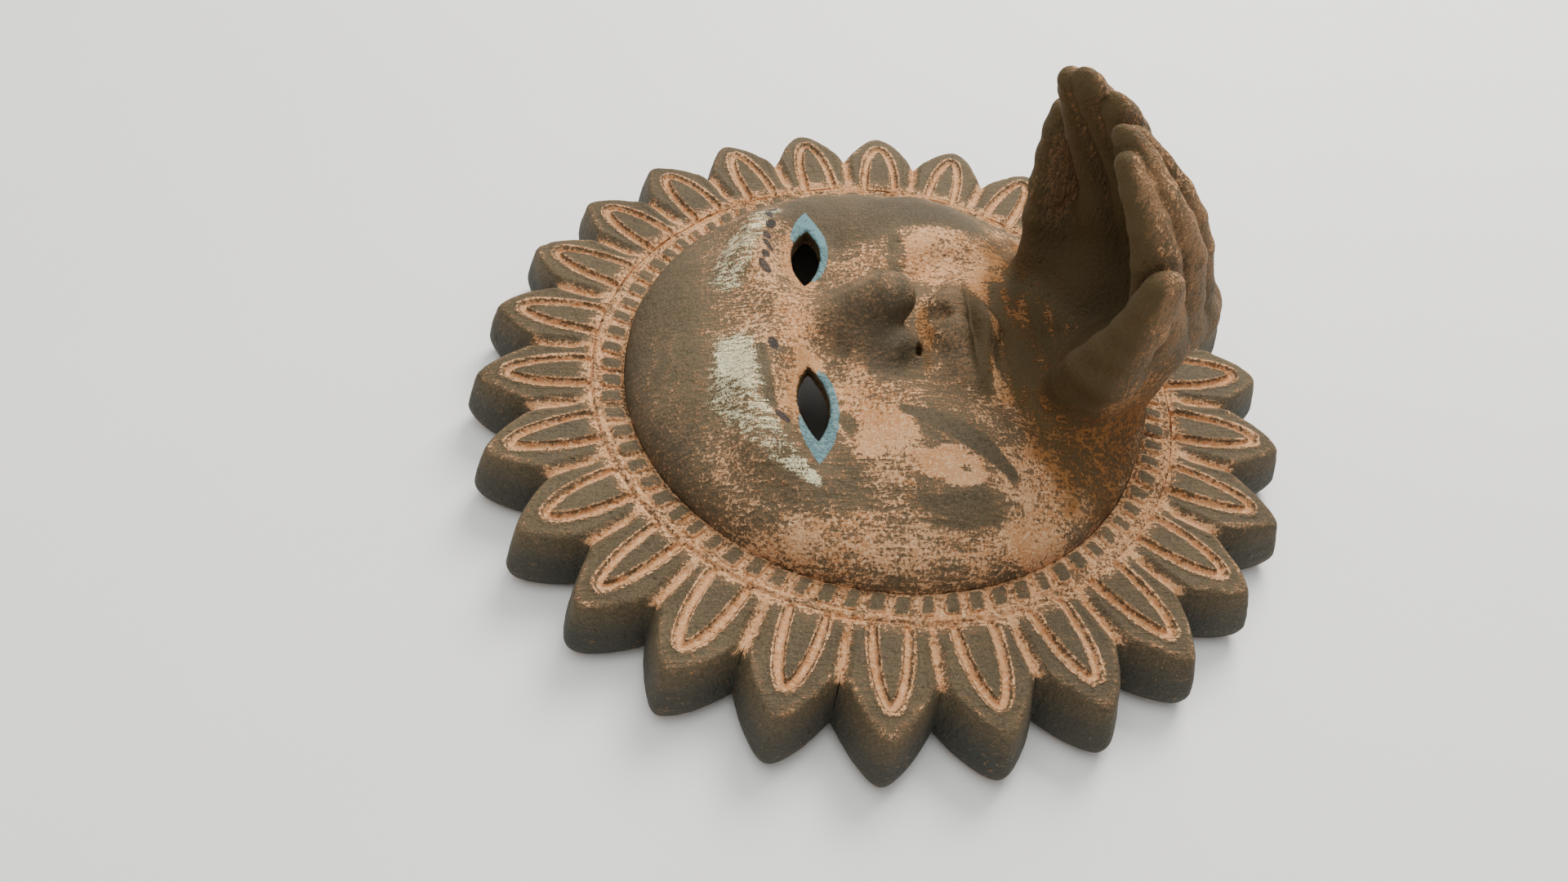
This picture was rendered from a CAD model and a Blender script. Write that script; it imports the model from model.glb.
import math

import bpy
import numpy as np
from mathutils import Matrix, Vector


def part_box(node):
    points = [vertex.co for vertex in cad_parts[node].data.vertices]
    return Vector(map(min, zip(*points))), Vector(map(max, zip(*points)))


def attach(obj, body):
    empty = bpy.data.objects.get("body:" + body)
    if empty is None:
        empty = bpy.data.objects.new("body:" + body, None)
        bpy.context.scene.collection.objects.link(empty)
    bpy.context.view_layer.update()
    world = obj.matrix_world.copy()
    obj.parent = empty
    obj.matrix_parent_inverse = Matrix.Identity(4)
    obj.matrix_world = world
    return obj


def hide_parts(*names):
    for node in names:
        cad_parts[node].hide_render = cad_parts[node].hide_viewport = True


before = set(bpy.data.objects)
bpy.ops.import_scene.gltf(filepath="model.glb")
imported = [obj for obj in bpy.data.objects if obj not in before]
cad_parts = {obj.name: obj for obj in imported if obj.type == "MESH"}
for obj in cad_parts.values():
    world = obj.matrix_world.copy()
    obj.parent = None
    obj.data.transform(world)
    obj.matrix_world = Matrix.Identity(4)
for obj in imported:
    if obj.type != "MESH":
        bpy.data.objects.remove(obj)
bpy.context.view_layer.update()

# ---- Driving sizes, in millimetres, read from the CAD frame ----
MM = 0.001


def node_box(name):
    """Lowest and highest corners of a CAD node at rest."""
    low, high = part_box(name)
    return [c / MM for c in low], [c / MM for c in high]


RIM_H = node_box("ray_01")[1][2]            # top of the rays above the back plane
TIP_R = node_box("ray_01")[1][0] - 0.3      # reach of the ray tips
ARCH_R = TIP_R / 1.115                      # where the carved arch of each ray ends
FACE_R = node_box("face_shell")[1][0]       # edge of the domed face
CROWN_Z = node_box("face_shell")[1][2]      # top of the dome
SHEET_Z = node_box("face_shell")[0][2]      # underside of the pressed clay sheet
HAND_TOP = node_box("right_middle_finger")[1][2]
RAY_COUNT = 26
FIRST_RAY = math.radians(-3.57)
HALF_PITCH = math.pi / RAY_COUNT
HOLLOW_R = 129.0
CLAY_WALL = 9.0
BAND_R = (0.700 * ARCH_R, 0.762 * ARCH_R)   # inner and outer edge of the beads
JOIN_R = 0.782 * ARCH_R                     # where the rays meet the collar

CELL = 1.0           # scales every sampling grid
rng = np.random.default_rng(26)


def unit(rows):
    """Each row as a vector of length 1."""
    return rows / np.maximum(np.linalg.norm(rows, axis=1), 1e-6)[:, None]


# ---- Noise over points, in millimetres ----
LATTICE = rng.permutation(256)
SLOPES = unit(rng.normal(size=(256, 3)))


def noise(p, size, seed=0):
    """Gradient noise from about -0.8 to 0.8 at points p (N, 3), with features about size across."""
    q = p / size + seed * 17.31
    base = np.floor(q).astype(np.int64)
    part = q - base
    fade = part ** 3 * (part * (part * 6 - 15) + 10)
    total = 0.0
    for corner in range(8):
        step = np.array([corner & 1, corner >> 1 & 1, corner >> 2 & 1])
        at = (base + step) & 255
        pick = LATTICE[(LATTICE[(LATTICE[at[:, 0]] + at[:, 1]) & 255] + at[:, 2]) & 255]
        toward = ((part - step) * SLOPES[pick]).sum(1)
        weight = np.where(step, fade, 1 - fade).prod(1)
        total = total + toward * weight
    return total * 1.5


# ---- Solid shapes as fields: negative inside, in millimetres ----
def blend_min(a, b, k):
    """Joins two solids with a fillet about k wide."""
    h = np.clip(0.5 + 0.5 * (b - a) / k, 0, 1)
    return b + (a - b) * h - k * h * (1 - h)


def blend_max(a, b, k):
    return -blend_min(-a, -b, k)


def creased(a, b, k, depth, width):
    """Joins two solids with a pressed line along the place where they meet."""
    return blend_min(a, b, k) + depth * np.exp(-((a - b) / width) ** 2)


def ramp(x, lo, hi):
    """0 below lo and 1 above hi, smooth between."""
    t = np.clip((x - lo) / (hi - lo), 0, 1)
    return t * t * (3 - 2 * t)


def bump(d, width):
    """1 at d = 0, falling smoothly to 0 at about twice the width."""
    return np.exp(-(d / width) ** 2)


def egg(x, y, z, c, r, turn=0.0):
    """Ellipsoid with radii r, turned about Z."""
    dx, dy = x - c[0], y - c[1]
    cs, sn = math.cos(turn), math.sin(turn)
    u, v, w = (dx * cs + dy * sn) / r[0], (dy * cs - dx * sn) / r[1], (z - c[2]) / r[2]
    k0 = np.sqrt(u * u + v * v + w * w)
    k1 = np.sqrt((u / r[0]) ** 2 + (v / r[1]) ** 2 + (w / r[2]) ** 2)
    return k0 * (k0 - 1) / np.maximum(k1, 1e-6)


def link(x, y, z, a, b, ra, rb):
    """Tapered round bar from a to b."""
    d = [b[i] - a[i] for i in range(3)]
    size = sum(c * c for c in d)
    t = np.clip(((x - a[0]) * d[0] + (y - a[1]) * d[1] + (z - a[2]) * d[2]) / size, 0, 1)
    return np.sqrt((x - a[0] - t * d[0]) ** 2 + (y - a[1] - t * d[1]) ** 2
                   + (z - a[2] - t * d[2]) ** 2) - (ra + t * (rb - ra))


def eased(points, radii):
    """Adds a point between each pair of joints, so that a limb bends in a curve."""
    rows = [np.array([*p, r]) for p, r in zip(points, radii)]
    out = [rows[0]]
    for i in range(len(rows) - 1):
        before, after = rows[max(i - 1, 0)], rows[min(i + 2, len(rows) - 1)]
        out += [(9 * (rows[i] + rows[i + 1]) - before - after) / 16, rows[i + 1]]
    return [r[:3] for r in out], [r[3] for r in out]


def limb(x, y, z, points, radii, k):
    """Bars joined end to end, blended by k."""
    total = None
    for a, b, ra, rb in zip(points, points[1:], radii, radii[1:]):
        part = link(x, y, z, a, b, ra, rb)
        total = part if total is None else blend_min(total, part, k)
    return total


# ---- From a field to a mesh: one vertex in each cell that the surface crosses ----
CORNERS = [(i, j, k) for i in (0, 1) for j in (0, 1) for k in (0, 1)]
EDGES = [(a, b) for a in range(8) for b in range(a + 1, 8)
         if sum(abs(CORNERS[a][i] - CORNERS[b][i]) for i in range(3)) == 1]


def gradient(field, p, eps):
    steps = np.eye(3) * eps
    return np.stack([(field(*(p + s).T) - field(*(p - s).T)) / (2 * eps) for s in steps], 1)


def pull(field, p, rounds=3, reach=0.6):
    """Moves points onto the field's surface."""
    for _ in range(rounds):
        g = gradient(field, p, 0.05)
        value = field(*p.T)
        step = value / np.maximum((g * g).sum(1), 1e-3)
        size = np.abs(step) * np.sqrt((g * g).sum(1))
        step *= np.minimum(1, reach / np.maximum(size, 1e-6))
        p = p - g * step[:, None]
    return p


def surface(outer, cut, low, high, h):
    """Closed mesh of the solid inside both fields: points, quads, and whether each quad lies on outer.
    outer is the sculpted skin; cut bounds the piece against its neighbours, or is None."""
    h = h * CELL
    axes = [np.arange(lo - h, hi + 2 * h, h) for lo, hi in zip(low, high)]
    grid = np.meshgrid(*axes, indexing="ij", sparse=True)
    shape = tuple(len(a) for a in axes)
    skin = np.broadcast_to(outer(*grid), shape).astype(np.float32)
    wall = np.full(shape, -1e3, np.float32)
    if cut is not None:
        wall[:] = cut(*grid)
    both = np.maximum(skin, wall)
    inside = both < 0

    count = sum(inside[tuple(slice(o, n - 1 + o) for o, n in zip(c, shape))].astype(np.int8) for c in CORNERS)
    cells = np.argwhere((count > 0) & (count < 8))

    def at_corners(a):
        return np.stack([a[tuple((cells + c).T)] for c in CORNERS], 1)

    values = at_corners(both)
    where = np.zeros((len(cells), 3))
    hits = np.zeros(len(cells))
    for a, b in EDGES:
        va, vb = values[:, a], values[:, b]
        crossed = (va < 0) != (vb < 0)
        t = np.where(crossed, va / np.where(crossed, va - vb, 1), 0)
        at = np.array(CORNERS[a]) + t[:, None] * (np.array(CORNERS[b]) - CORNERS[a])
        where += at * crossed[:, None]
        hits += crossed
    points = np.array([a[0] for a in axes]) + (cells + where / hits[:, None]) * h
    index = np.full(tuple(n - 1 for n in shape), -1, np.int64)
    index[tuple(cells.T)] = np.arange(len(cells))

    quads = []
    for axis in range(3):
        u, v = (axis + 1) % 3, (axis + 2) % 3
        a, b = (inside.take(range(o, shape[axis] - 1 + o), axis) for o in (0, 1))
        at = np.argwhere(a != b)
        at = at[(at[:, u] > 0) & (at[:, v] > 0) & (at[:, u] < shape[u] - 1) & (at[:, v] < shape[v] - 1)]
        out = a[tuple(at.T)]
        ring = []
        for du, dv in ((-1, -1), (0, -1), (0, 0), (-1, 0)):
            c = at.copy()
            c[:, u] += du
            c[:, v] += dv
            ring.append(index[tuple(c.T)])
        ring = np.stack(ring, 1)
        ring[~out] = ring[~out][:, ::-1]
        quads.append(ring)
    quads = np.concatenate(quads)

    if cut is None:
        return pull(outer, points), quads, np.ones(len(quads), bool), np.ones(len(points), bool)
    on_skin, on_wall = ((v.min(1) < 0) & (v.max(1) >= 0) for v in (at_corners(skin), at_corners(wall)))
    seam, only_skin, only_wall = on_skin & on_wall, on_skin & ~on_wall, on_wall & ~on_skin
    points[only_skin] = pull(outer, points[only_skin])
    points[only_wall] = pull(cut, points[only_wall])
    for _ in range(4):
        points[seam] = pull(cut, pull(outer, points[seam], 1), 1)
    middle = points[quads].mean(1)
    skin_face = np.abs(outer(*middle.T)) <= np.abs(cut(*middle.T))
    skin_face |= only_skin[quads].any(1)
    skin_face &= ~only_wall[quads].any(1)
    return points, quads, skin_face, on_skin


# ---- Hand-worked clay: every sculpted skin gets the same relief, so seams stay closed ----
def relief(p):
    """How far the skin stands out of its field at points p, from pressing, smoothing and firing."""
    soft = 0.55 * noise(p, 26, 1) + 0.22 * noise(p, 9, 2)
    grain = 0.10 * noise(p, 3.4, 3) + 0.05 * noise(p, 1.7, 4)
    pits = np.clip(noise(p, 4.2, 5) - 0.52, 0, None) * -1.4
    return soft + grain + pits


def skin_normals(p, normal):
    """Unit normals of the skin after relief, from the field's normals."""
    eps = 0.35
    here = relief(p)
    slope = np.stack([(relief(p + step) - here) / eps for step in np.eye(3) * eps], 1)
    slope -= (slope * normal).sum(1)[:, None] * normal
    return unit(normal - slope), here


def clay_object(name, outer, cut, low, high, h, paint, turn=0.0, strength=1.0):
    """Builds one clay piece in its own local frame, turns it about Z into place, and paints its points."""
    points, quads, skin_face, on_skin = surface(outer, cut, low, high, h)
    normal = unit(gradient(outer, points, 0.12))
    spin = np.array([[math.cos(turn), -math.sin(turn), 0], [math.sin(turn), math.cos(turn), 0], [0, 0, 1]])
    local = points
    points, normal = points @ spin.T, normal @ spin.T
    skin_n, rise = skin_normals(points, normal)
    # The back plane stays flat, and the skin never grows past the CAD box
    keep = ramp(points[:, 2], 0.3, 4) * strength
    points = points + normal * (rise * keep * on_skin)[:, None]
    skin_n = unit(normal + (skin_n - normal) * keep[:, None])
    loops = skin_n[quads]
    if cut is not None:
        loops[~skin_face] = (unit(gradient(cut, local, 0.12)) @ spin.T)[quads[~skin_face]]
    return mesh_object(name, points, quads, loops, paint(points, local, skin_n))


def place(name, data):
    """A new object in the scene."""
    obj = bpy.data.objects.new(name, data)
    bpy.context.scene.collection.objects.link(obj)
    return obj


def mesh_object(name, points, faces, loop_normals, maps):
    """Points in millimetres to a smooth mesh with its own normals and named values."""
    mesh = bpy.data.meshes.new(name)
    corners = faces.shape[1]
    mesh.vertices.add(len(points))
    mesh.vertices.foreach_set("co", (np.asarray(points) * MM).ravel())
    mesh.loops.add(faces.size)
    mesh.loops.foreach_set("vertex_index", faces.ravel())
    mesh.polygons.add(len(faces))
    mesh.polygons.foreach_set("loop_start", np.arange(len(faces)) * corners)
    mesh.update(calc_edges=True)
    mesh.shade_smooth()
    for label, values in maps.items():
        layer = mesh.attributes.new(label, "FLOAT", "POINT")
        layer.data.foreach_set("value", np.full(len(points), values, np.float32))
    mesh.normals_split_custom_set(loop_normals.reshape(-1, 3))
    mesh.validate()
    return place(name, mesh)


# ---- The rays ----
ray_reach = rng.uniform(-1.6, 0.0, RAY_COUNT)       # each ray was cut a little differently
ray_lean = rng.uniform(-0.8, 0.8, RAY_COUNT)
arch_shift = rng.uniform(-1.0, 0.6, RAY_COUNT)
arch_wide = rng.uniform(-0.5, 0.5, RAY_COUNT)
VALLEY_R = 0.975 * ARCH_R
ARCH_POINT, ARCH_BLUNT = 2.4, 1.6       # the arch is a blunt lancet: t ** POINT + w ** BLUNT = 1


def ray_groove(u, v, k):
    """Distance from the middle of the carved arch, in the ray's own frame: u outwards, v across.
    Also the same distance with a sign, negative on the island, and the way along the arch."""
    start, end = 0.80 * ARCH_R, ARCH_R - 0.8 + arch_shift[k]
    half = 6.0 + 1.2 * arch_wide[k]
    t = (u - start) / (end - start)
    along, across = np.maximum(t, 0), np.abs(v - ray_lean[k] * 0.4) / half
    level = along ** ARCH_POINT + across ** ARCH_BLUNT - 1
    slope = np.hypot(ARCH_POINT * along ** (ARCH_POINT - 1) / (end - start),
                     ARCH_BLUNT * across ** (ARCH_BLUNT - 1) / half)
    side = level / np.maximum(slope, 0.03)
    return np.abs(side) + 6 * np.clip(-t, 0, None), side, t


def valley_distance(u, v):
    """Distance from the groove line between this ray and the nearer of its neighbours."""
    r = np.sqrt(u * u + v * v)
    return r * np.sin(np.clip(HALF_PITCH - np.abs(np.arctan2(v, u)), 0, 1)), r


def join_dip(r):
    """The shallow line pressed where the rays meet the collar."""
    return bump(r - JOIN_R, 1.3)


def ray_top(u, v, k):
    """Height of the ray's upper face: a raised island in a carved arch, between two valley lines."""
    d, side, t = ray_groove(u, v, k)
    between, r = valley_distance(u, v)
    island = 0.8 * ramp(-side, 0.3, 4) * ramp(1 - t, 0, 0.4)
    carved = 1.5 * np.exp(-(d / 1.35) ** 4)
    begun = ramp(r / ARCH_R, 0.80, 0.84)            # the valley lines start clear of the collar
    valley = 2.4 * bump(between, 1.9) * begun
    burrs = 0.5 * bump(d - 2.2, 0.7) + 0.45 * bump(between - 3.9, 1.0) * begun
    fall = 0.010 * np.clip(u - 0.98 * ARCH_R, 0, None) ** 2
    return RIM_H - 0.9 - fall + island + burrs - carved - valley - join_dip(r)


def ray_flank(u, v, z, k):
    """Signed distance outside the ray's two drafted flanks."""
    tip = TIP_R + 2.6 + ray_reach[k]        # where the flanks would cross, beyond the rounded end
    blunt = 3.2
    vu, vv = VALLEY_R * math.cos(HALF_PITCH), VALLEY_R * math.sin(HALF_PITCH)
    run = math.hypot(tip - vu, vv)
    nu, nv = vv / run, (tip - vu) / run
    across = np.sqrt((v - ray_lean[k] * ramp(u, vu, tip)) ** 2 + blunt ** 2)
    d = (u - vu) * nu + (across - vv) * nv
    along = ((u - vu) * nv - (across - vv) * nu) / run
    belly = 1.5 * np.clip(1 - (2 * along - 1) ** 2, 0, 1)
    rise = np.clip(z / RIM_H, 0, 1)
    waist = 0.30                # the flank is widest at this share of its height
    above = 4.4 * np.clip(rise - waist, 0, None) ** 1.15 / 0.66
    below = 2.4 * np.clip(waist - rise, 0, None) ** 2 / waist ** 2
    return d - belly + above + below


def ray_skin(k):
    """A ray from its worked top down to the flat back, with the hollow cut out of it."""
    def field(u, v, z):
        top = z - ray_top(u, v, k)
        solid = blend_max(top, ray_flank(u, v, z, k), 2.2)
        solid = blend_max(solid, -z, 1.2)
        r = np.sqrt(u * u + v * v)
        hollow = blend_max(r - HOLLOW_R, z - SHEET_Z, 3.0)
        return blend_max(solid, -hollow, 1.6)
    return field


def ray_cut(u, v, z):
    """Keeps a ray between its two valleys and outside the collar."""
    r = np.sqrt(u * u + v * v)
    side = r * np.sin(np.clip(np.abs(np.arctan2(v, u)) - HALF_PITCH, -1, 1))
    return np.maximum(side, JOIN_R - r) + 0 * z


# ---- The collar and its beads ----
COLLAR_TOP = RIM_H - 2.0
BEAD_COUNT = 3 * RAY_COUNT
bead_turn = rng.uniform(-0.10, 0.10, BEAD_COUNT)
bead_out = rng.uniform(-0.5, 0.5, BEAD_COUNT)
bead_wide = rng.uniform(-0.45, 0.25, BEAD_COUNT)


def collar_skin(x, y, z):
    """A flat ring with a low cord round the beads."""
    r = np.sqrt(x * x + y * y)
    cord = 1.1 * bump(r - (JOIN_R + BAND_R[1]) / 2, 0.9)
    top = COLLAR_TOP + 0.4 + cord - join_dip(r) - 0.8 * bump(r - FACE_R, 1.0)
    return blend_max(z - top, SHEET_Z - z, 1.0)


def collar_cut(x, y, z):
    r = np.sqrt(x * x + y * y)
    return np.maximum(r - JOIN_R, FACE_R - r) + 0 * z


def bead_outline(x, y):
    """Signed distance outside the nearest bead's outline, and the place in it along and across."""
    r = np.sqrt(x * x + y * y)
    angle = np.arctan2(y, x) - FIRST_RAY
    pitch, middle = 2 * math.pi / BEAD_COUNT, sum(BAND_R) / 2
    slot = np.floor(angle / pitch).astype(int) % BEAD_COUNT
    off = (angle / pitch) % 1 - 0.5
    across = off * pitch * r + (bead_turn[slot] + 0.16) * (r - middle)
    along = r - middle - bead_out[slot]
    half_l, half_w, corner = (BAND_R[1] - BAND_R[0]) / 2 - 0.2, 3.2, 1.7
    qx = np.abs(along) - half_l + corner
    qy = np.abs(across) - half_w - bead_wide[slot] + corner
    flat = np.hypot(np.maximum(qx, 0), np.maximum(qy, 0)) + np.minimum(np.maximum(qx, qy), 0)
    return flat - corner, along, across


def bead_skin(x, y, z):
    flat, along, across = bead_outline(x, y)
    crown = COLLAR_TOP + 1.9 - 0.03 * (along ** 2 + across ** 2)
    solid = blend_max(flat, z - crown, 1.7)
    return blend_max(solid, COLLAR_TOP - 0.8 - z, 0.4)


# ---- The face ----
def at(x, y, z):
    """A point in the plaque's own proportions: multiples of ARCH_R, height above the rays."""
    return (x * ARCH_R, y * ARCH_R, z * ARCH_R + RIM_H)


def size(*r):
    return tuple(v * ARCH_R for v in r)


def climb(z, lo, hi):
    """0 below the first height over the rays and 1 above the second, both in ARCH_R."""
    return ramp(z, RIM_H + lo * ARCH_R, RIM_H + hi * ARCH_R)


DOME_BASE = RIM_H - 4.0
DOME_POWER = 2.5


def dome(x, y, z, inset=0.0):
    """Superelliptic dome, drawn in by inset."""
    a, b = FACE_R - inset, CROWN_Z - DOME_BASE - inset
    q, w = np.sqrt(x * x + y * y) / a, np.maximum(z - DOME_BASE, 0) / b
    s = np.maximum(q ** DOME_POWER + w ** DOME_POWER, 1e-6)
    f = s ** (1 / DOME_POWER)
    slope = f / s * np.hypot(q ** (DOME_POWER - 1) / a, w ** (DOME_POWER - 1) / b)
    return (f - 1) / np.maximum(slope, 0.004)


EYE = at(0.264, 0.222, 0.150)
EYE_HALF, EYE_TALL = 0.117 * ARCH_R, 0.039 * ARCH_R


def lens(u, v, tilt, half, tall):
    """Signed distance outside a pointed oval turned by a small tilt."""
    u, v = u + v * tilt, v - u * tilt
    arc = (half ** 2 + tall ** 2) / (2 * tall)
    return np.sqrt(u * u + (np.abs(v) + arc - tall) ** 2) - arc


def almond(x, y, grow=0.0):
    """Signed distance outside the eye's outline, seen from the front; both eyes at once."""
    return lens(np.abs(x) - EYE[0], y - EYE[1], -0.07, EYE_HALF + grow, EYE_TALL + grow)


def nose_form(x, y, z):
    """A straight bridge whose flanks spread out into the wings."""
    m = np.abs(x)
    bridge = limb(x, y, z, [at(0, 0.27, 0.120), at(0, 0.17, 0.178), at(0, 0.030, 0.270)],
                  size(0.036, 0.044, 0.064), 6)
    flanks = limb(m, y, z, [at(0.020, 0.19, 0.145), at(0.050, 0.09, 0.175), at(0.105, 0.008, 0.184)],
                  size(0.028, 0.042, 0.053), 6)
    return blend_min(bridge, flanks, 8.0)


def lips_form(x, y, z):
    m = np.abs(x)
    upper = limb(m, y, z, [at(0, -0.142, 0.178), at(0.045, -0.137, 0.182), at(0.175, -0.182, 0.156)],
                 size(0.048, 0.051, 0.028), 4)
    lower = limb(m, y, z, [at(0, -0.238, 0.180), at(0.14, -0.210, 0.160)], size(0.042, 0.020), 4)
    return creased(upper, lower, 2.0, 1.5, 3.0)


def eyelid(x, y):
    """Signed distance outside the painted lid, which runs to a point beyond the outer corner."""
    return lens(np.abs(x) - EYE[0] - 4.6, y - EYE[1] + 1.3, 0.02, EYE_HALF + 5.4, EYE_TALL + 1.7)


def face_base(x, y, z):
    """The dome with its cheeks, chin, brows and eye sockets."""
    m = np.abs(x)
    f = dome(x, y, z)
    f = blend_min(f, egg(m, y, z, at(0.36, -0.11, 0.075), size(0.20, 0.19, 0.125)), 0.09 * ARCH_R)
    f = blend_min(f, egg(x, y, z, at(0, -0.42, 0.06), size(0.24, 0.16, 0.10)), 0.08 * ARCH_R)
    brow = limb(m, y, z, [at(0.05, 0.30, 0.135), at(0.23, 0.365, 0.142), at(0.38, 0.335, 0.122),
                          at(0.48, 0.22, 0.085)], size(0.045, 0.052, 0.05, 0.04), 8)
    f = blend_min(f, brow, 0.07 * ARCH_R)
    socket = egg(m, y, z, at(0.27, 0.212, 0.218), size(0.205, 0.118, 0.066))
    under_brow = ramp(y / ARCH_R, 0.20, 0.28)
    f = blend_max(f, -socket, (0.055 - 0.038 * under_brow) * ARCH_R)
    lid = np.maximum(np.abs(almond(x, y, 1.2)) - 1.7, 0)
    droop = 0.018 * ARCH_R * ((m - EYE[0]) / EYE_HALF) ** 2
    rim = np.hypot(lid, z - EYE[2] + droop) - 0.6
    return blend_min(f, rim, 4.5)


def face_form(x, y, z):
    """The outer skin of the face, hands left out."""
    m = np.abs(x)
    f = blend_min(face_base(x, y, z), nose_form(x, y, z), 0.045 * ARCH_R)
    nostril = egg(m, y, z, at(0.096, -0.048, 0.180), size(0.017, 0.008, 0.022))
    f = blend_max(f, -nostril, 1.2)
    crease = limb(m, y, z, [at(0.16, -0.03, 0.215), at(0.215, -0.12, 0.213), at(0.25, -0.21, 0.193)],
                  size(0.020, 0.024, 0.016), 3)
    f = blend_max(f, -crease, 0.07 * ARCH_R)
    f = blend_min(f, lips_form(m, y, z), 3.5)
    under_lip = limb(m, y, z, [at(0, -0.300, 0.222), at(0.12, -0.275, 0.205)], size(0.030, 0.020), 4)
    f = blend_max(f, -under_lip, 6)
    philtrum = limb(x, y, z, [at(0, -0.075, 0.222), at(0, -0.115, 0.222)], size(0.02, 0.018), 2)
    f = blend_max(f, -philtrum, 4)
    return f


# ---- The hands ----
FINGERS = ("index_finger", "middle_finger", "ring_finger", "little_finger")
FINGER_JOINTS = (
    ((0.195, -0.575, 0.34), (0.225, -0.495, 0.54), (0.19, -0.405, 0.72), (0.125, -0.338, 0.825)),
    ((0.145, -0.645, 0.355), (0.16, -0.54, 0.60), (0.14, -0.425, 0.76), (0.085, -0.355, 0.848)),
    ((0.09, -0.70, 0.34), (0.10, -0.585, 0.58), (0.09, -0.485, 0.735), (0.055, -0.405, 0.82)),
    ((0.035, -0.725, 0.34), (0.04, -0.615, 0.55), (0.043, -0.535, 0.67), (0.037, -0.465, 0.755)),
)
FINGER_RADII = (
    (0.068, 0.060, 0.048, 0.032), (0.060, 0.054, 0.045, 0.034),
    (0.060, 0.052, 0.043, 0.034), (0.058, 0.047, 0.040, 0.032),
)
SLIMMER = 0.003         # the pressed clay between the fingers thickens them by about this much
THUMB_BACK = ((0.22, -0.45, 0.16), (0.285, -0.465, 0.33), (0.305, -0.475, 0.50), (0.285, -0.46, 0.625))


def curve(joints, radii):
    return eased([at(*p) for p in joints], size(*radii))


THUMB_FRONT_LINE = curve(
    ((0.215, -0.41, 0.16), (0.265, -0.38, 0.34), (0.295, -0.395, 0.50), (0.295, -0.41, 0.625)),
    (0.045, 0.040, 0.038, 0.034))
THUMB_BACK_LINE = curve(THUMB_BACK, (0.07, 0.056, 0.046, 0.040))
FINGER_LINES = [curve(joints, [r - SLIMMER for r in radii])
                for joints, radii in zip(FINGER_JOINTS, FINGER_RADII)]


def hand_space(x, y, z):
    """Folds both hands onto one: the right one leans a little forward and up, the left one back.
    The last value is 1 in the left hand, whose thumb is the slimmer one."""
    m = np.sqrt(x * x + 0.8)
    lean = np.sign(x) * climb(z, 0.3, 0.7) * ramp(m / ARCH_R, 0.03, 0.11)
    return m, y - 0.045 * ARCH_R * lean, z - 0.018 * ARCH_R * lean, (x < 0) * ramp(m, 3, 12)


def palm_form(m, y, z):
    """Wrist, palm and the webs that join them to the fingers and the thumb."""
    wrist, top = at(0.16, -0.47, -0.02), at(0.14, -0.55, 0.20)
    f = link(m, y, z, wrist, top, *size(0.15, 0.11))
    f = blend_min(f, link(m, y, z, at(0.05, -0.55, 0.08), at(0.04, -0.68, 0.30), *size(0.13, 0.07)), 8)
    for joints, radii in zip(FINGER_JOINTS, FINGER_RADII):
        knuckle = link(m, y, z, top, at(*joints[0]), *size(0.09, radii[0] - SLIMMER))
        f = blend_min(f, knuckle, 6)
    web = link(m, y, z, at(*THUMB_BACK[0]), at(*FINGER_JOINTS[0][0]), *size(0.078, 0.068))
    f = blend_min(f, web, 8)
    return blend_min(f, link(m, y, z, at(*THUMB_BACK[1]), at(0.205, -0.54, 0.44), *size(0.055, 0.055)), 8)


def thumb_form(m, y, z, left):
    """The thumb and the ball behind it, slimmer and further forward on the left hand."""
    high = left * climb(z, 0.22, 0.48)
    front = limb(m, y + 0.034 * ARCH_R * high, z, *THUMB_FRONT_LINE, 2.5)
    back = limb(m, y, z, *THUMB_BACK_LINE, 2.5)
    return blend_min(front, back, 9) + 0.008 * ARCH_R * high


def hand_parts(m, y, z, left):
    """Fields of one hand's six pieces, m being the distance from the middle plane."""
    parts = [palm_form(m, y, z), thumb_form(m, y, z, left)]
    return parts + [limb(m, y, z, *line, 1.4) for line in FINGER_LINES]


def hand_form(x, y, z):
    """Both hands: the fingers melt into the palm low down and part in creases higher up."""
    palm, thumb, *fingers = hand_parts(*hand_space(x, y, z))
    free = climb(z, 0.30, 0.46)
    row = fingers[0]
    for finger in fingers[1:]:
        row = creased(row, finger, 2.6, 0.7 * free, 1.4)
    f = blend_min(palm, row, 7.0)
    return creased(f, thumb, 8.0 - 6.8 * free, 1.5 * free, 2.2)


def nearby_hands(x, y, z):
    """The hands' field where it matters, and a far value over the rest of the face."""
    x, y, z = np.broadcast_arrays(x, y, z)
    f = np.full(x.shape, 30.0)
    near = (y < -0.15 * ARCH_R) & (np.abs(x) < 0.46 * ARCH_R)
    if near.any():
        f[near] = hand_form(x[near], y[near], z[near])
    return f


def plaque_skin(x, y, z):
    """Face and hands as one worked skin, so that neighbours meet without a step."""
    f = blend_min(face_form(x, y, z), nearby_hands(x, y, z), 11.0)
    shell = blend_max(f, -dome(x, y, z, CLAY_WALL), 1.5)
    shell = blend_max(shell, -(almond(x, y) + 0 * z), 1.6)
    return blend_max(shell, SHEET_Z - z, 1.0)


# ---- Where slip, bare clay and old paint lie, worked out at each point of a skin ----
def patch(p, centre, reach, turn=0.0):
    """1 inside an oval patch seen from the front, fading to 0 outside it; sizes in ARCH_R."""
    dx, dy = p[:, 0] / ARCH_R - centre[0], p[:, 1] / ARCH_R - centre[1]
    cs, sn = math.cos(turn), math.sin(turn)
    d = np.sqrt(((dx * cs + dy * sn) / reach[0]) ** 2 + ((dy * cs - dx * sn) / reach[1]) ** 2)
    ragged = min(1.0, min(reach) / 0.04) * (0.30 * noise(p, 13, 25) + 0.18 * noise(p, 5, 26))
    return ramp(1.25 - d + ragged, 0.0, 0.5)


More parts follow.
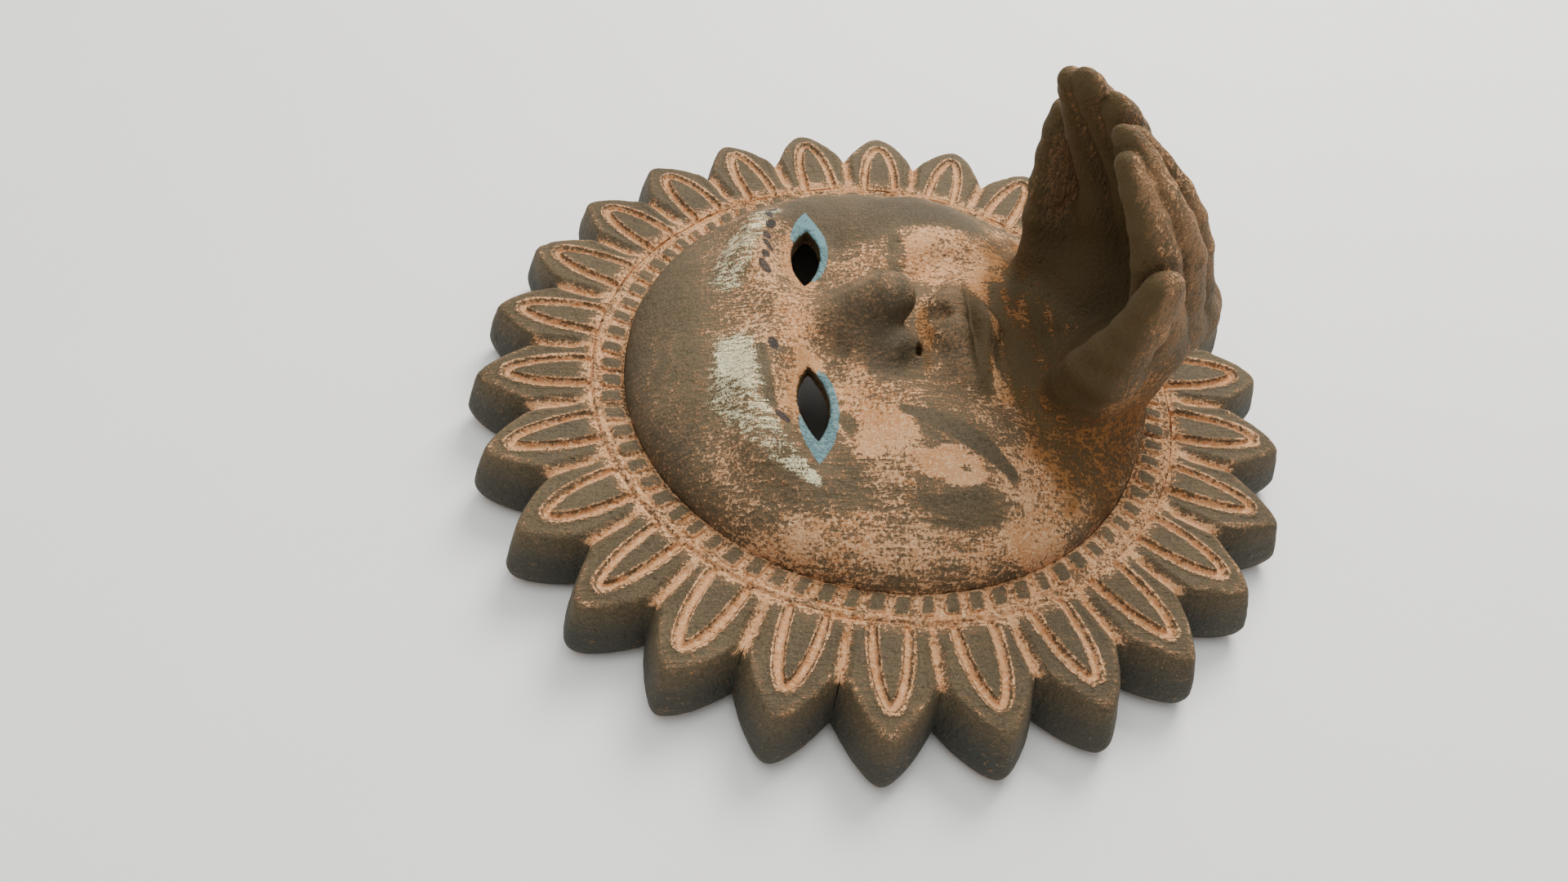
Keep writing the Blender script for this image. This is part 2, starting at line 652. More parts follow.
def stroke(p, line, widths):
    """1 along a painted line seen from the front, fading over its width; sizes in ARCH_R."""
    q = p[:, :2] / ARCH_R
    best = np.full(len(p), 9.0)
    for (ax, ay), (bx, by), wa, wb in zip(line, line[1:], widths, widths[1:]):
        d = np.array([bx - ax, by - ay])
        t = np.clip(((q - (ax, ay)) @ d) / (d @ d), 0, 1)
        best = np.minimum(best, np.linalg.norm(q - (ax, ay) - t[:, None] * d, axis=1) / (wa + t * (wb - wa)))
    return ramp(1.3 - best, 0.0, 0.7)


def patches(p, rows):
    """Sum of patches, each row giving its centre, reach, turn and strength."""
    return sum(gain * patch(p, centre, reach, turn) for centre, reach, turn, gain in rows)


def maps_of(p, bare, blue=0.0, chalk=0.0, soot=0.0, umber=0.0, dust=0.0):
    """The values that the clay's material reads at each point."""
    smoke = ramp(RIM_H - 3 - p[:, 2], 0, 13) + 0.35 * np.clip(noise(p, 30, 11), 0, 1)
    return dict(bare=bare, blue=blue, chalk=chalk, soot=soot, smoke=smoke, umber=umber, dust=dust,
                tall=climb(p[:, 2], 0.18, 0.30))


def in_hollow(p):
    """1 on the wall of the hollow behind the face."""
    return ramp(2.5 - np.abs(dome(*p.T, CLAY_WALL)), 0, 1)


def unslipped(p, share, bare, umber, dust):
    """Turns these shares into those of the rough, unslipped back, as far as share says."""
    plain = (0.48 + 0.2 * noise(p, 14, 14), 0.5, 0.0)
    return [a + (b - a) * share for a, b in zip((bare, umber, dust), plain)]


def wrist_glow(p):
    """1 where the bare clay glows deep orange, in the valley between each wrist and the cheek."""
    low = 1 - climb(p[:, 2] + 5 * noise(p, 18, 23), 0.12, 0.30)
    return low * np.maximum(patch(p, (-0.30, -0.45), (0.20, 0.17)), patch(p, (0.27, -0.46), (0.15, 0.15)))


def paint_ray(k):
    """Slip on the island and the flanks, bare clay along the carved lines and the worn edges."""
    def paint(p, local, n):
        u, v, z = local.T
        d = ray_groove(u, v, k)[0]
        between, r = valley_distance(u, v)
        top = ramp(z, RIM_H - 6, RIM_H - 3.2)
        bare = 0.02 + 0.13 * noise(p, 22, 12) - 0.50 * (1 - top)
        for worn in (0.92 * np.exp(-(d / 1.55) ** 4),
                     0.74 * bump(d - 2.1, 0.55),
                     0.92 * bump(between, 2.1) * ramp(1.02 * ARCH_R - r, 0, 9),
                     0.74 * ramp(0.835 * ARCH_R - r, 0, 8),
                     (0.31 + 0.25 * noise(p, 14, 21)) * bump(ray_flank(u, v, z, k) + 1.2, 1.1)):
            bare = np.maximum(bare, worn * top)
        hollow = ramp(HOLLOW_R + 1.5 - r, 0, 1) * ramp(SHEET_Z + 1 - z, 0, 1)
        back = np.maximum(ramp(-n[:, 2], 0.3, 0.8), hollow)
        plain = 0.62 + 0.2 * noise(p, 18, 13)
        return maps_of(p, bare + (plain - bare) * back, umber=0.25 * back)
    return paint


def paint_collar(p, local, n):
    return maps_of(p, 0.66 + 0.22 * noise(p, 14, 14), umber=0.25 * ramp(-n[:, 2], 0.3, 0.8))


def paint_lug(p, local, n):
    return maps_of(p, 0.62 + 0.22 * noise(p, 12, 14), umber=0.15)


def paint_bead(p, local, n):
    edge = bead_outline(p[:, 0], p[:, 1])[0]
    return maps_of(p, 0.16 + 0.62 * ramp(edge, -1.7, -0.3) + 0.22 * noise(p, 13, 15))


def hand_slip(p, n):
    """The bare, umber and dust shares on the hands, which run on a little way over the face."""
    x, z = p[:, 0], p[:, 2]
    high = climb(z, 0.25, 0.60)
    bowl = ramp(n[:, 1], -0.1, 0.45) * climb(z, 0.15, 0.3)
    outer = high * ramp(-n[:, 1], -0.75, 0.15)
    bare = 0.15 + 0.14 * noise(p, 26, 19) + 0.07 * noise(p, 9, 20)
    bare += 0.21 * outer + 0.12 * high * ramp(n[:, 2], 0.2, 0.8) - 0.20 * bowl
    right_edge = ramp(x / ARCH_R, 0.15, 0.26) * climb(z, 0.30, 0.45)
    streaks = 0.30 + 0.75 * noise(p * (1.0, 1.0, 0.45), 13, 29)
    dust = outer * (1 - right_edge) * streaks * np.where(x < 0, 1.0, 0.45)
    dust = dust + 0.46 * right_edge * (1 + noise(p, 20, 28))
    behind = ramp(0.3 - n[:, 1], 0, 0.5) * (1 - climb(z, 0.15, 0.45)) * ramp(np.abs(x) / ARCH_R, 0.12, 0.22)
    wrist = wrist_glow(p)
    bare += 0.45 * np.maximum(wrist, behind)
    umber = np.clip(0.35 + 0.6 * bowl + np.maximum(wrist, 0.6 * behind), 0, 1)
    return bare, umber, np.clip(dust, 0, 1)


# Places on the face, all in ARCH_R. Patches: centre, reach, turn, strength
WORN = (
    ((0.0, 0.34), (0.34, 0.12), 0.0, 0.16), ((-0.27, 0.07), (0.15, 0.11), 0.0, 0.34),
    ((0.20, 0.05), (0.08, 0.10), 0.0, 0.16), ((-0.468, -0.095), (0.045, 0.085), -0.29, 0.62),
    ((-0.42, 0.05), (0.12, 0.08), 0.2, 0.24), ((0.26, -0.16), (0.12, 0.15), 0.0, 0.36),
    ((-0.61, 0.06), (0.06, 0.34), 0.0, 0.24), ((-0.51, -0.30), (0.12, 0.12), -0.6, 0.30),
    ((-0.25, 0.60), (0.25, 0.07), 0.0, 0.20), ((-0.05, 0.22), (0.10, 0.06), 0.0, 0.20),
    ((0.12, -0.235), (0.05, 0.04), 0.0, 0.35),
)
STILL_SLIPPED = (
    ((-0.555, -0.14), (0.042, 0.115), 0.10, 0.42), ((0.46, 0.06), (0.13, 0.22), 0.0, 0.36),
    ((0.0, 0.60), (0.55, 0.10), 0.0, 0.14), ((0.25, -0.02), (0.08, 0.025), 0.0, 0.45),
    ((0.42, -0.16), (0.06, 0.16), 0.2, 0.35), ((-0.33, 0.14), (0.035, 0.02), 0.3, 0.5),
    ((0.36, 0.14), (0.05, 0.025), 0.2, 0.4), ((-0.475, -0.125), (0.012, 0.014), 0.0, 0.6),
    ((-0.15, 0.035), (0.06, 0.055), 0.0, 0.34), ((-0.02, -0.30), (0.13, 0.03), 0.0, 0.35),
    ((-0.05, -0.38), (0.17, 0.06), 0.0, 0.25),
)
# Painted lines: the points they pass through, and the width at each
CHEEK_SMEAR = (((-0.305, 0.01), (-0.346, -0.066), (-0.415, -0.17), (-0.475, -0.24)),
               (0.012, 0.024, 0.026, 0.015))
BROW_SMEAR = (((-0.115, 0.352), (-0.21, 0.350), (-0.30, 0.328)), (0.012, 0.022, 0.014))
LEFT_BROW = (((-0.08, 0.42), (-0.25, 0.415), (-0.40, 0.34), (-0.50, 0.22)), (0.050, 0.060, 0.040, 0.012))
RIGHT_BROW = (((0.16, 0.43), (0.31, 0.39), (0.45, 0.30)), (0.05, 0.045, 0.02))
# Lashes dabbed under the brows: place, turn, and length in millimetres
LASHES = (
    (-0.107, 0.321, 0.3, 2.6), (-0.332, 0.301, 0.9, 2.6), (0.451, 0.309, -0.3, 3.4),
    (0.40, 0.322, 0.2, 2.2), (0.355, 0.318, -0.5, 2.4), (0.305, 0.330, 0.1, 2.0),
    (0.262, 0.328, 0.6, 2.6), (0.215, 0.336, -0.2, 1.8), (0.170, 0.338, 0.5, 3.2),
)


def face_paint(p, wall):
    """The blue lids, the chalked brows and the sooty lashes."""
    x, y = p[:, 0], p[:, 1]
    u, v = np.abs(x) - EYE[0], y - EYE[1]
    upper = ramp(v - 0.10 * u, -1.0, 1.0)
    blue = ramp(1.0 - eyelid(x, y), 0, 1.6) * (1 - wall)
    blue = blue * (1 - upper * (1 - ramp(u, 0.1 * EYE_HALF, 0.8 * EYE_HALF)))
    blue = blue * ramp(u, -EYE_HALF - 1, -EYE_HALF + 6)
    chalk = 0.46 + 0.5 * noise(p, 20, 22) + 0.40 * patch(p, (-0.15, 0.405), (0.12, 0.07))
    chalk = np.maximum(chalk * stroke(p, *LEFT_BROW), 0.52 * stroke(p, *RIGHT_BROW))
    soot = np.zeros(len(p))
    for dx, dy, turn, length in LASHES:
        soot = np.maximum(soot, patch(p, (dx, dy), (1.25 * length / ARCH_R, 1.7 / ARCH_R), turn))
    return blue, chalk, soot


def paint_face(p, local, n):
    """Slip rubbed through on the cheeks, brow, mouth and chin, kept on the nose, and face paint over it."""
    x, y, z = p.T
    eye_edge, above_eye = almond(x, y), y - EYE[1]
    wall = ramp(0.55 - n[:, 2], 0, 0.3) * ramp(2.5 - eye_edge, 0, 2)        # the sides of the eye holes
    inside = np.maximum(ramp(-n[:, 2], 0.1, 0.4), in_hollow(p))
    skirt = 3.0 + 4.0 * ramp(np.abs(x) / ARCH_R, 0.07, 0.12)
    on_nose = ramp(skirt - nose_form(x, y, z), 0, 3.0) * ramp(0.24 * ARCH_R - y, 0, 8)
    chin = ramp(-y / ARCH_R, 0.18, 0.30) * patch(p, (0, -0.38), (0.42, 0.22))
    wrist = wrist_glow(p)
    under_nose = patch(p, (-0.05, -0.066), (0.11, 0.020))
    lip = patch(p, (-0.04, -0.148), (0.19, 0.042))
    mouth = patch(p, (-0.03, -0.205), (0.18, 0.030))

    bare = 0.40 + 0.16 * noise(p, 34, 16) + 0.10 * noise(p, 12, 17)
    bare += patches(p, WORN) - patches(p, STILL_SLIPPED)
    bare -= 0.26 * ramp(y / ARCH_R, 0.42, 0.62) + 0.34 * on_nose
    bare -= 0.62 * stroke(p, *CHEEK_SMEAR) + 0.60 * stroke(p, *BROW_SMEAR)
    bare += 0.34 * climb(z, 0.27, 0.33) * ramp(noise(p, 7, 24), -0.1, 0.4)
    bare += 0.05 * chin + 0.08 * wrist + 0.30 * under_nose - 0.24 * lip - 0.36 * mouth
    bare = bare + (0.05 - bare) * wall
    bare += 0.30 * bump(eye_edge - 2, 2.4) * (above_eye > -4) * (1 - wall)
    umber = np.maximum(np.maximum(chin * 0.9, wrist), 0.95 * wall)
    umber = umber + 0.40 * ramp(9 - eye_edge, 0, 6) * ramp(above_eye, -2, 3) * (1 - wall)
    umber = np.clip(umber + 0.9 * under_nose + 0.6 * mouth, 0, 1)
    dust = 0.22 * on_nose + 0.24 * lip

    close = ramp(9 - nearby_hands(x, y, z) + 3 * noise(p, 12, 30), 0, 10)
    bare, umber, dust = (a + (b - a) * close for a, b in zip((bare, umber, dust), hand_slip(p, n)))
    strokes = np.clip(noise(p * (0.16, 1.0, 1.0), 4.0, 27) * 1.8, -1, 1)
    bare += 0.40 * strokes * ramp(-y / ARCH_R, 0.15, 0.25) * patch(p, (-0.05, -0.30), (0.26, 0.14))
    bare, umber, dust = unslipped(p, inside, bare, umber, dust)
    colours = [(1 - inside) * share for share in face_paint(p, wall)]
    return maps_of(p, bare, *colours, umber, dust)


def paint_hand(p, local, n):
    bare, umber, dust = unslipped(p, in_hollow(p), *hand_slip(p, n))
    return maps_of(p, bare, umber=umber, dust=dust)


# ---- Materials ----
class Graph:
    """Short names for building one material's nodes."""

    def __init__(self, name):
        self.material = bpy.data.materials.new(name)
        self.material.use_nodes = True
        self.nodes = self.material.node_tree.nodes
        self.links = self.material.node_tree.links
        self.shader = self.nodes["Principled BSDF"]
        self.place = self.nodes.new("ShaderNodeTexCoord").outputs["Object"]

    def join(self, value, socket):
        if hasattr(value, "is_output"):
            self.links.new(value, socket)
        else:
            socket.default_value = value

    def fill(self, node, **values):
        """Sets or links a node's inputs by name, with _ for a space."""
        for name, value in values.items():
            self.join(value, node.inputs[name.replace("_", " ")])
        return node

    def attribute(self, name):
        node = self.nodes.new("ShaderNodeAttribute")
        node.attribute_name = name
        return node.outputs["Fac"]

    def noise(self, scale, detail=3.0, roughness=0.55, stretch=None):
        node = self.nodes.new("ShaderNodeTexNoise")
        source = self.place
        if stretch:
            mapping = self.fill(self.nodes.new("ShaderNodeMapping"), Scale=stretch, Vector=source)
            source = mapping.outputs["Vector"]
        return self.fill(node, Scale=scale, Detail=detail, Roughness=roughness, Vector=source).outputs["Fac"]

    def cells(self, scale):
        node = self.nodes.new("ShaderNodeTexVoronoi")
        return self.fill(node, Scale=scale, Vector=self.place).outputs["Distance"]

    def math(self, kind, a, b=0.0, c=0.0):
        node = self.nodes.new("ShaderNodeMath")
        node.operation = kind
        for value, socket in zip((a, b, c), node.inputs):
            self.join(value, socket)
        return node.outputs[0]

    def times(self, a, b):
        return self.math("MULTIPLY", a, b)

    def map(self, value, lo, hi, out_lo=0.0, out_hi=1.0, smooth=True):
        node = self.nodes.new("ShaderNodeMapRange")
        node.interpolation_type = "SMOOTHSTEP" if smooth else "LINEAR"
        self.fill(node, Value=value, From_Min=lo, From_Max=hi, To_Min=out_lo, To_Max=out_hi)
        return node.outputs[0]

    def mix(self, share, a, b):
        node = self.nodes.new("ShaderNodeMix")
        node.data_type = "RGBA"
        for value, slot in ((share, 0), (a, 6), (b, 7)):
            self.join(value, node.inputs[slot])
        return node.outputs[2]

    def relief(self, height, distance, strength=1.0, under=None):
        node = self.nodes.new("ShaderNodeBump")
        under = {"Normal": under} if under else {}
        return self.fill(node, Strength=strength, Distance=distance, Height=height, **under).outputs["Normal"]


# Colours of the clay, of the slip over it, and of what was painted or rubbed on
CLAY_DEEP, CLAY_WARM = (0.50, 0.225, 0.088, 1), (0.585, 0.305, 0.140, 1)
CLAY_PALE, CLAY_BURNT = (0.72, 0.475, 0.265, 1), (0.40, 0.165, 0.050, 1)
SLIP_DEEP, SLIP_BROWN = (0.089, 0.063, 0.030, 1), (0.118, 0.086, 0.043, 1)
SLIP_BLACK, SLIP_WORN = (0.050, 0.036, 0.018, 1), (0.19, 0.132, 0.072, 1)
SMOKED, THIN_SLIP = (0.041, 0.041, 0.032, 1), (0.40, 0.235, 0.12, 1)
STAIN_DEEP, STAIN_GLOW = (0.075, 0.047, 0.013, 1), (0.235, 0.090, 0.018, 1)
DUST, CHALK = (0.43, 0.228, 0.105, 1), (0.80, 0.745, 0.46, 1)
BLUE, SOOT = (0.128, 0.262, 0.285, 1), (0.035, 0.034, 0.036, 1)


def worn_slip():
    """Orange fired clay under a matt dark slip that has worn off in specks and brushed streaks."""
    g = Graph("worn_slip_on_clay")
    fine = g.noise(1500, 2, 0.6)
    grit = g.noise(800, 3, 0.6)
    speck = g.noise(330, 3, 0.6)
    broad = g.noise(60, 3, 0.55)
    cloud = g.noise(22, 2, 0.5)
    flat_brush = g.noise(1.0, 3, 0.6, stretch=(900, 110, 500))
    tall_brush = g.noise(1.0, 3, 0.6, stretch=(800, 800, 100))
    tall = g.attribute("tall")
    brush = g.math("ADD", g.times(flat_brush, g.math("SUBTRACT", 1.0, tall)), g.times(tall_brush, tall))
    bare = g.attribute("bare")
    umber = g.attribute("umber")

    def add(total, texture, weight):
        return g.math("MULTIPLY_ADD", g.math("SUBTRACT", texture, 0.5), weight, total)

    cover = add(add(add(add(add(bare, grit, 1.35), fine, 0.5), speck, 0.55), brush, 1.1), broad, 0.45)
    clay_share = g.map(cover, 0.36, 0.66)

    clay = g.mix(g.map(broad, 0.35, 0.65), CLAY_DEEP, CLAY_WARM)
    light = g.times(g.map(add(fine, grit, 1.0), 0.5, 0.68, 0, 0.8), g.map(bare, 0.1, 0.5))
    clay = g.mix(light, clay, CLAY_PALE)
    clay = g.mix(g.map(speck, 0.58, 0.75, 0, 0.5), clay, CLAY_BURNT)
    slip = g.mix(g.map(cloud, 0.35, 0.65), SLIP_DEEP, SLIP_BROWN)
    slip = g.mix(g.map(grit, 0.40, 0.65, 0.0, 0.75), slip, SLIP_BLACK)
    slip = g.mix(g.map(fine, 0.52, 0.70, 0.0, 0.55), slip, SLIP_WORN)
    slip = g.mix(g.times(g.attribute("smoke"), 0.85), slip, SMOKED)
    colour = g.mix(clay_share, slip, clay)
    thin = g.map(cover, 0.15, 0.42, 0.0, 0.30)
    colour = g.mix(g.times(thin, g.math("SUBTRACT", 1.0, clay_share)), colour, THIN_SLIP)
    stain = g.mix(g.map(cover, 0.15, 0.95), STAIN_DEEP, STAIN_GLOW)
    colour = g.mix(g.times(umber, 0.92), colour, stain)
    colour = g.mix(g.times(g.attribute("dust"), g.map(cover, -0.1, 0.5)), colour, DUST)

    def painted(name, textured, lo, hi, top, tint):
        share = g.times(g.map(textured, lo, hi, 0, top), g.map(g.attribute(name), 0.02, 0.15))
        return g.mix(share, colour, tint)

    chalk = add(g.attribute("chalk"), add(brush, fine, 0.8), 2.9)
    colour = painted("chalk", chalk, 0.36, 0.80, 0.92, CHALK)
    blue = add(add(g.attribute("blue"), grit, 0.9), brush, 0.6)
    colour = painted("blue", blue, 0.35, 0.60, 0.92, BLUE)
    soot = add(add(g.attribute("soot"), grit, 1.0), brush, 0.6)
    colour = painted("soot", soot, 0.40, 0.60, 0.90, SOOT)
    rough = add(g.map(clay_share, 0, 1, 0.74, 0.93, smooth=False), speck, 0.2)

    skin = g.relief(g.map(cover, 0.30, 0.70), 0.00030, 0.9)
    skin = g.relief(brush, 0.0007, 0.7, skin)
    skin = g.relief(grit, 0.0008, 0.8, skin)
    skin = g.relief(g.map(g.cells(260), 0.06, 0.24), 0.0004, 0.6, skin)
    g.fill(g.shader, Base_Color=colour, Roughness=rough, Normal=skin, Specular_IOR_Level=0.32)
    return g.material


def drawn_wire():
    """Dull steel wire with drawing marks and specks of rust."""
    g = Graph("drawn_steel_wire")
    rust = g.map(g.noise(700, 4, 0.65), 0.56, 0.68)
    marks = g.noise(1.0, 2, 0.5, stretch=(300, 3000, 3000))
    steel = g.mix(g.map(marks, 0.3, 0.7), (0.30, 0.29, 0.28, 1), (0.46, 0.45, 0.43, 1))
    g.fill(g.shader, Base_Color=g.mix(rust, steel, (0.20, 0.085, 0.04, 1)),
           Metallic=g.map(rust, 0, 1, 0.9, 0.1), Roughness=g.map(rust, 0, 1, 0.42, 0.85),
           Normal=g.relief(marks, 0.00005, 0.6))
    return g.material


def floor_paint():
    g = Graph("pale_floor")
    tone = g.mix(g.map(g.noise(6, 3), 0.3, 0.7), (0.95, 0.95, 0.91, 1), (0.97, 0.97, 0.93, 1))
    g.fill(g.shader, Base_Color=tone, Roughness=0.8)
    return g.material


# ---- Building the pieces ----
CLAY = worn_slip()


def settle(obj, material, body, nodes):
    obj.data.materials.append(material)
    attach(obj, body)
    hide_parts(*nodes)
    return obj


def build_rays():
    low = (JOIN_R - 1, -ARCH_R * math.sin(HALF_PITCH) - 1.5, -1)
    high = (TIP_R + 2, ARCH_R * math.sin(HALF_PITCH) + 1.5, RIM_H + 2)
    for k in range(RAY_COUNT):
        name = "ray_%02d" % (k + 1)
        turn = FIRST_RAY + 2 * HALF_PITCH * k
        obj = clay_object("clay_" + name, ray_skin(k), ray_cut, low, high, 0.75, paint_ray(k), turn)
        settle(obj, CLAY, "plaque", [name])


def build_ring():
    reach = JOIN_R + 1
    obj = clay_object("clay_collar", collar_skin, collar_cut, (-reach, -reach, SHEET_Z - 1),
                      (reach, reach, RIM_H + 1), 1.0, paint_collar)
    settle(obj, CLAY, "plaque", ["collar"])
    reach = BAND_R[1] + 2
    obj = clay_object("clay_beads", bead_skin, None, (-reach, -reach, COLLAR_TOP - 2),
                      (reach, reach, COLLAR_TOP + 4), 0.65, paint_bead, strength=0.5)
    settle(obj, CLAY, "plaque", ["bead_band"])


CENTRAL = ("face_shell", "nose", "lips")
PIECES = ("palm", "thumb") + FINGERS


def owner_fields(x, y, z):
    """How far each point is inside the face, the nose, the lips and each of the hand's pieces."""
    return [face_base(x, y, z), nose_form(x, y, z), lips_form(x, y, z), *hand_parts(*hand_space(x, y, z))]


def piece_cut(which, side=0):
    """Keeps the part of the skin that is deepest inside one piece, on one side of the middle plane."""
    def cut(x, y, z):
        fields = owner_fields(x, y, z)
        mine = fields.pop(which)
        rest = fields[0]
        for other in fields[1:]:
            rest = np.minimum(rest, other)
        g = (mine - rest) * 0.5
        return np.maximum(g, -side * x) if side else g
    return cut


def build_face():
    reach = FACE_R + 1
    spans = {
        "face_shell": ((-reach, -reach, SHEET_Z - 1), (reach, reach, RIM_H + 0.30 * ARCH_R), 1.0),
        "nose": (at(-0.20, -0.12, 0.05), at(0.20, 0.36, 0.33), 0.8),
        "lips": (at(-0.24, -0.34, 0.07), at(0.24, -0.05, 0.27), 0.8),
    }
    for i, node in enumerate(CENTRAL):
        low, high, h = spans[node]
        obj = clay_object("clay_" + node, plaque_skin, piece_cut(i), low, high, h, paint_face)
        settle(obj, CLAY, "plaque", [node])


def build_hands():
    for side, hand in ((-1, "left"), (1, "right")):
        for i, piece in enumerate(PIECES):
            node = hand + "_" + piece
            grow = 9 if piece == "palm" else 6
            low, high = ([c + way * grow for c in corner] for way, corner in zip((-1, 1), node_box(node)))
            if side > 0:
                low[0] = -1.5
            else:
                high[0] = 1.5
            high[2] = min(high[2], HAND_TOP + 1)
            cut = piece_cut(i + len(CENTRAL), side)
            obj = clay_object("clay_" + node, plaque_skin, cut, low, high, 0.8, paint_hand, strength=0.4)
            settle(obj, CLAY, "plaque", [node])


HINGE_Y, HINGE_Z = 93.0, 9.0         # the axis that both lug holes share
LUG_R, LUG_X, LUG_W, BORE_R = 6.0, 12.0, 9.0, 1.6       # pad radius, inner end, length; hole radius
WIRE_R = 0.9
LOOP_DROOP = math.radians(12)


def build_lugs():
    """Rolled pads of clay pressed onto the back and pierced; the wire turns in the holes."""
    for side, hand in ((-1, "left"), (1, "right")):
        middle = side * (LUG_X + LUG_W / 2)

        def skin(x, y, z, middle=middle):
            end = np.abs(x - middle) - LUG_W / 2
            bore = np.sqrt((y - HINGE_Y) ** 2 + (z - HINGE_Z) ** 2)
            pad = np.sqrt((y - HINGE_Y) ** 2 + np.minimum(z - HINGE_Z, 0) ** 2) - LUG_R + 0.35
            pad = pad - 0.9 * ramp(z, SHEET_Z - 4, SHEET_Z)
            return blend_max(blend_max(pad, end + 0.2, 2.2), BORE_R + 0.6 * bump(end, 1.2) - bore, 0.5)

        def root(x, y, z):
            return z - SHEET_Z + 0 * x

        low = (middle - LUG_W / 2 - 1, HINGE_Y - LUG_R - 1.5, HINGE_Z - LUG_R - 1)
        high = (middle + LUG_W / 2 + 1, HINGE_Y + LUG_R + 1.5, SHEET_Z + 1)
        obj = clay_object("clay_lug_" + hand, skin, root, low, high, 0.5, paint_lug, strength=0.35)
        settle(obj, CLAY, "plaque", ["hanger_lug_" + hand])


def tube(name, path, radius):
    """Closed round bar along a path of points."""
    sides = 14
    along = np.gradient(path, axis=0)
    along /= np.linalg.norm(along, axis=1)[:, None]
    across = np.cross(along[0], (0.31, 0.2, 0.93))
    angles = np.arange(sides) * 2 * math.pi / sides
    rings = []
    for p, t in zip(path, along):
        across = across - (across @ t) * t
        across /= np.linalg.norm(across)
        third = np.cross(t, across)
        rings.append(p + radius * (np.cos(angles)[:, None] * across + np.sin(angles)[:, None] * third))
    for end, ring, t in ((0, rings[0], -along[0]), (1, rings[-1], along[-1])):
        cap = (ring - ring.mean(0)) * 0.55 + ring.mean(0) + t * 0.35 * radius
        rings = [cap] + rings if end == 0 else rings + [cap]
    points = np.concatenate(rings + [rings[0].mean(0)[None], rings[-1].mean(0)[None]])
    last = len(rings) * sides
    steps = [(j, (j + 1) % sides) for j in range(sides)]
    faces = [(i + a, i + b, i + b + sides, i + a + sides)
             for i in range(0, last - sides, sides) for a, b in steps]
    for a, b in steps:
        faces += [(last, b, a), (last + 1, last - sides + a, last - sides + b)]
    mesh = bpy.data.meshes.new(name)
    mesh.from_pydata([tuple(p * MM) for p in points], [], faces)
    mesh.shade_smooth()
    return place(name, mesh)


def arc(centre, radius, start, stop, count):
    """Points along an arc in the loop's plane, angles in degrees."""
    angles = np.radians(np.linspace(start, stop, count))
    return [(centre[0] + radius * math.cos(a), centre[1] + radius * math.sin(a), 0.0) for a in angles]


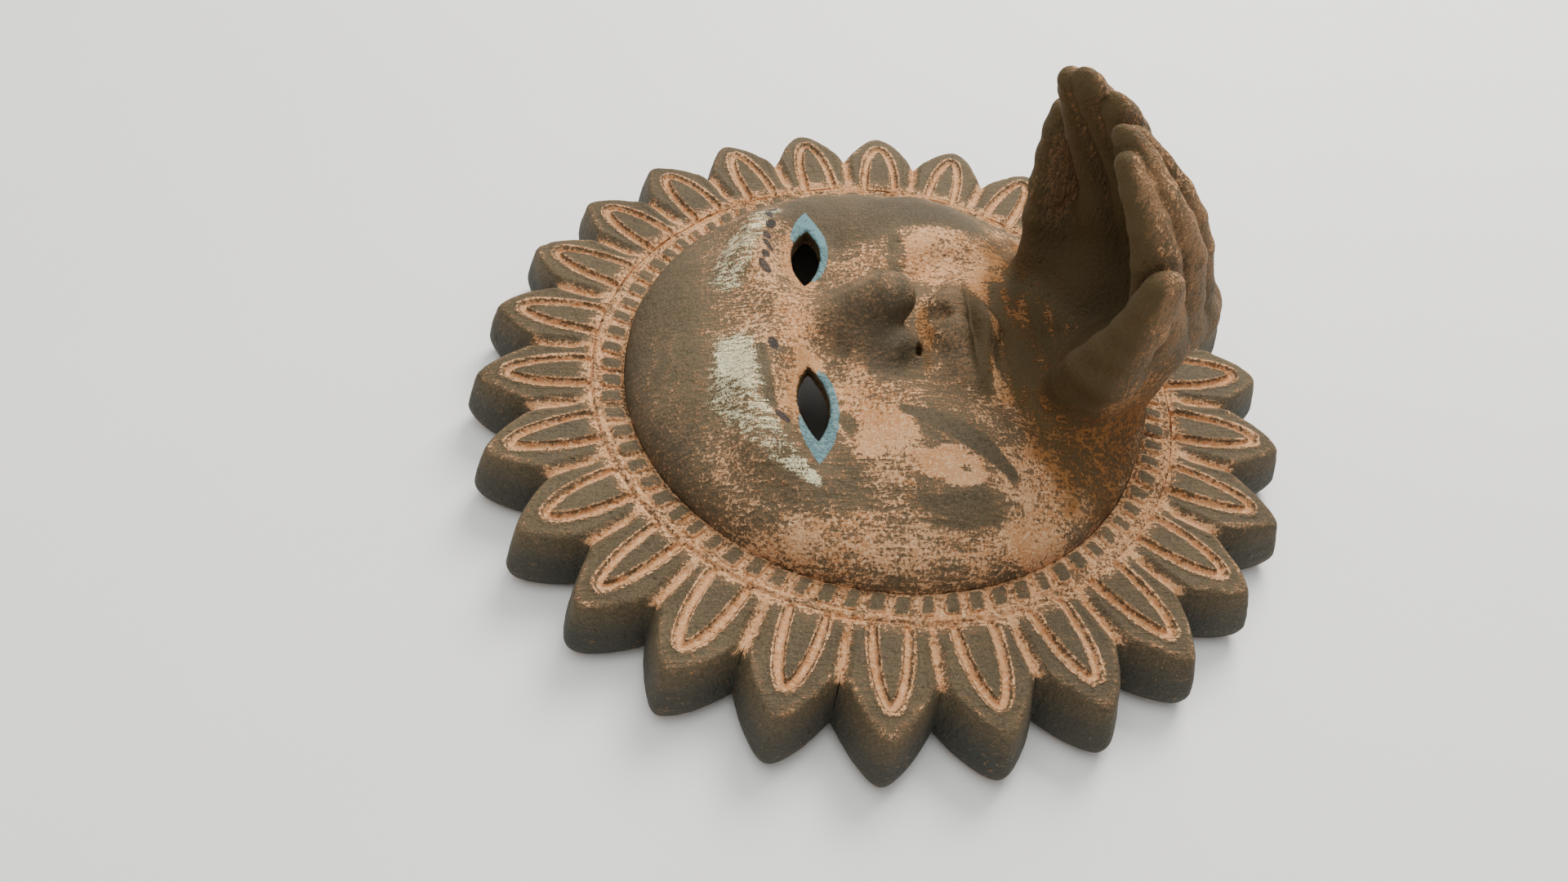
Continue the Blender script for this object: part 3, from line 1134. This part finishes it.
def build_wire():
    """One length of wire through both lugs, its two ends twisted together between them."""
    corner_x, loop_length = node_box("hanging_wire")[1][0] - WIRE_R, 30.0
    apex_r, side_r, bend = 4.0, 3.0, 2.6
    twist_r, turns, reach = 0.86, 2.5, 9.0
    apex_y = loop_length - WIRE_R - apex_r
    right = [(0.0, apex_y + apex_r, 0.0)]
    right += arc((0.0, apex_y), apex_r, 75, 30, 4)
    right += arc((corner_x - side_r, 10.2), side_r, 30, 0, 5)
    right += arc((corner_x - bend, bend), bend, 0, -90, 7)
    right += [(x, 0.0, 0.0) for x in (21.0, 17.0, 12.5)]
    steps = np.linspace(reach, -reach, 40)

    def helix(side):
        """One end of the wire, wound round the axis past the other end."""
        out = []
        for x in steps:
            grow = min(1.0, (reach - x) / 2.5)
            phase = 2 * math.pi * turns * (reach - x) / (2 * reach) + (0 if side > 0 else math.pi)
            out.append((side * x, twist_r * grow * math.cos(phase), twist_r * grow * math.sin(phase)))
        return out

    right_run = right + helix(1)
    left_run = [(-x, y, z) for x, y, z in right[1:]] + helix(-1)
    path = np.array(right_run[::-1] + left_run)
    fine = [path[0]]
    for a, b in zip(path, path[1:]):
        count = max(1, int(np.linalg.norm(b - a) / 1.2))        # steps of about 1.2 mm
        fine += [a + (b - a) * (i + 1) / count for i in range(count)]
    path = np.array(fine)
    # Bent by hand, so not quite flat
    path[:, 2] += 0.25 * np.sin(path[:, 1] / 6.0) * ramp(path[:, 1], 2, 8)
    cs, sn = math.cos(-LOOP_DROOP), math.sin(-LOOP_DROOP)
    x, y, z = path.T
    placed = np.stack([x, HINGE_Y + y * cs - z * sn, HINGE_Z + y * sn + z * cs], 1)
    settle(tube("steel_hanging_wire", placed, WIRE_R), drawn_wire(), "hanger", ["hanging_wire"])


build_rays()
build_ring()
build_face()
build_hands()
build_lugs()
build_wire()


# ---- Floor, light and camera ----
def build_stage():
    bpy.ops.mesh.primitive_plane_add(size=6, location=(0, 0, -0.0002))
    floor = bpy.context.object
    floor.name = "floor"
    floor.data.materials.append(floor_paint())
    world = bpy.data.worlds.new("studio")
    bpy.context.scene.world = world
    world.use_nodes = True
    sky, strength = world.node_tree.nodes["Background"].inputs[:2]
    sky.default_value, strength.default_value = (0.95, 0.97, 1.0, 1), 0.54

    def panel(name, spot, aim, width, power, colour):
        lamp = bpy.data.lights.new(name, "AREA")
        lamp.size, lamp.energy, lamp.color = width, power, colour
        obj = place(name, lamp)
        obj.location = spot
        obj.rotation_euler = (Vector(aim) - Vector(spot)).to_track_quat("-Z", "Y").to_euler()

    panel("window", (0.80, -0.42, 1.05), (0, 0, 0.03), 0.7, 24, (1.0, 0.97, 0.91))
    panel("ceiling", (0.1, 0.2, 1.6), (0, 0, 0), 1.4, 14.5, (1.0, 0.99, 0.97))


def build_camera():
    """Looks down at the plaque from its left cheek, rolled a little, as a phone is held."""
    spot = Vector((-2.176, 0.549, 2.29)) * ARCH_R + Vector((0, 0, RIM_H))
    look = Vector((0.639, -0.090, -0.764)).normalized()
    level = look.cross(Vector((0, 0, 1))).normalized()
    upright = level.cross(look)
    roll = math.radians(8.57)
    right = level * math.cos(roll) + upright * math.sin(roll)
    up = right.cross(look)
    camera = bpy.data.cameras.new("camera")
    camera.sensor_width, camera.lens = 36.0, 27.2
    camera.clip_start = 0.01
    obj = place("camera", camera)
    axes = Matrix((right, up, -look)).transposed().to_4x4()
    obj.matrix_world = Matrix.Translation(spot * MM) @ axes
    bpy.context.scene.camera = obj


build_stage()
build_camera()
